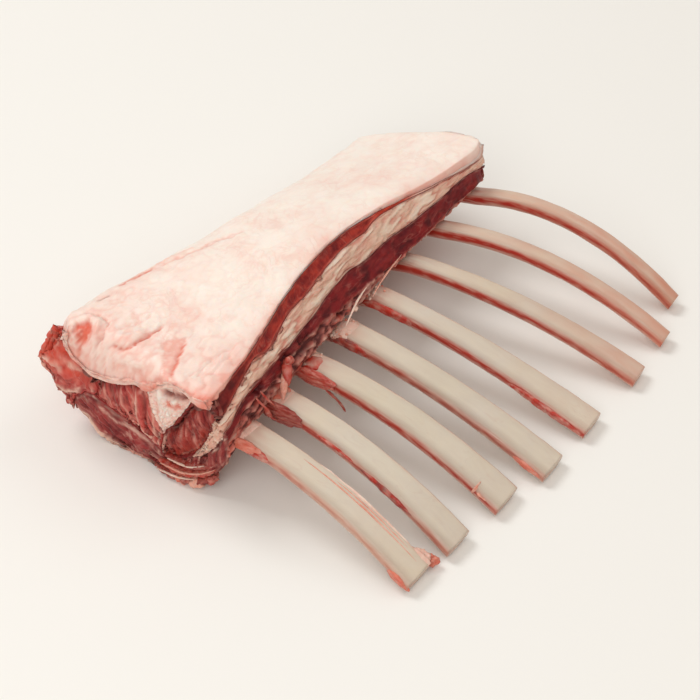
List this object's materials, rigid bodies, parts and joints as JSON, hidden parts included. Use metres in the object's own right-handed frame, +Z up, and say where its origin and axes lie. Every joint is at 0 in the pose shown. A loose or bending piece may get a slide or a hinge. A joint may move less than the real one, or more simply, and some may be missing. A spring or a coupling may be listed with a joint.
{
  "type": "rack of lamb",
  "caption": "Raw frenched rack of lamb: a block of layered lean and fat under a smooth fat cap, with long bare ribs that arch down to the table.",
  "frame": {"origin": "on the table, at the middle of the flat foot under the spine side, between the fourth and the fifth rib", "axes": "+X along the meat from the end with the many muscles to the narrow end, +Y from the rib tips to the spine side, +Z up"},
  "size_m": [0.1942, 0.1854, 0.0541],
  "materials": {
    "fat_cap": "soft raw fat, pinkish white, faintly moist",
    "seam_fat": "cut raw fat, cream, faintly moist",
    "lean": "raw red lean, wet and marbled",
    "dark_lean": "raw purple red lean, wet",
    "bone": "scraped bone, ivory, slightly damp"
  },
  "bodies": {
    "root": {"fat_cap": "fat_cap", "cap_muscle": "lean", "seam_fat": "seam_fat", "rib_muscle": "lean", "fat_flap": "seam_fat", "middle_muscle": "lean", "eye_muscle": "dark_lean", "edge_muscle": "lean", "rib_1": "bone", "rib_2": "bone", "rib_3": "bone", "rib_4": "bone", "rib_5": "bone", "rib_6": "bone", "rib_7": "bone", "rib_8": "bone"}
  },
  "joints": []
}
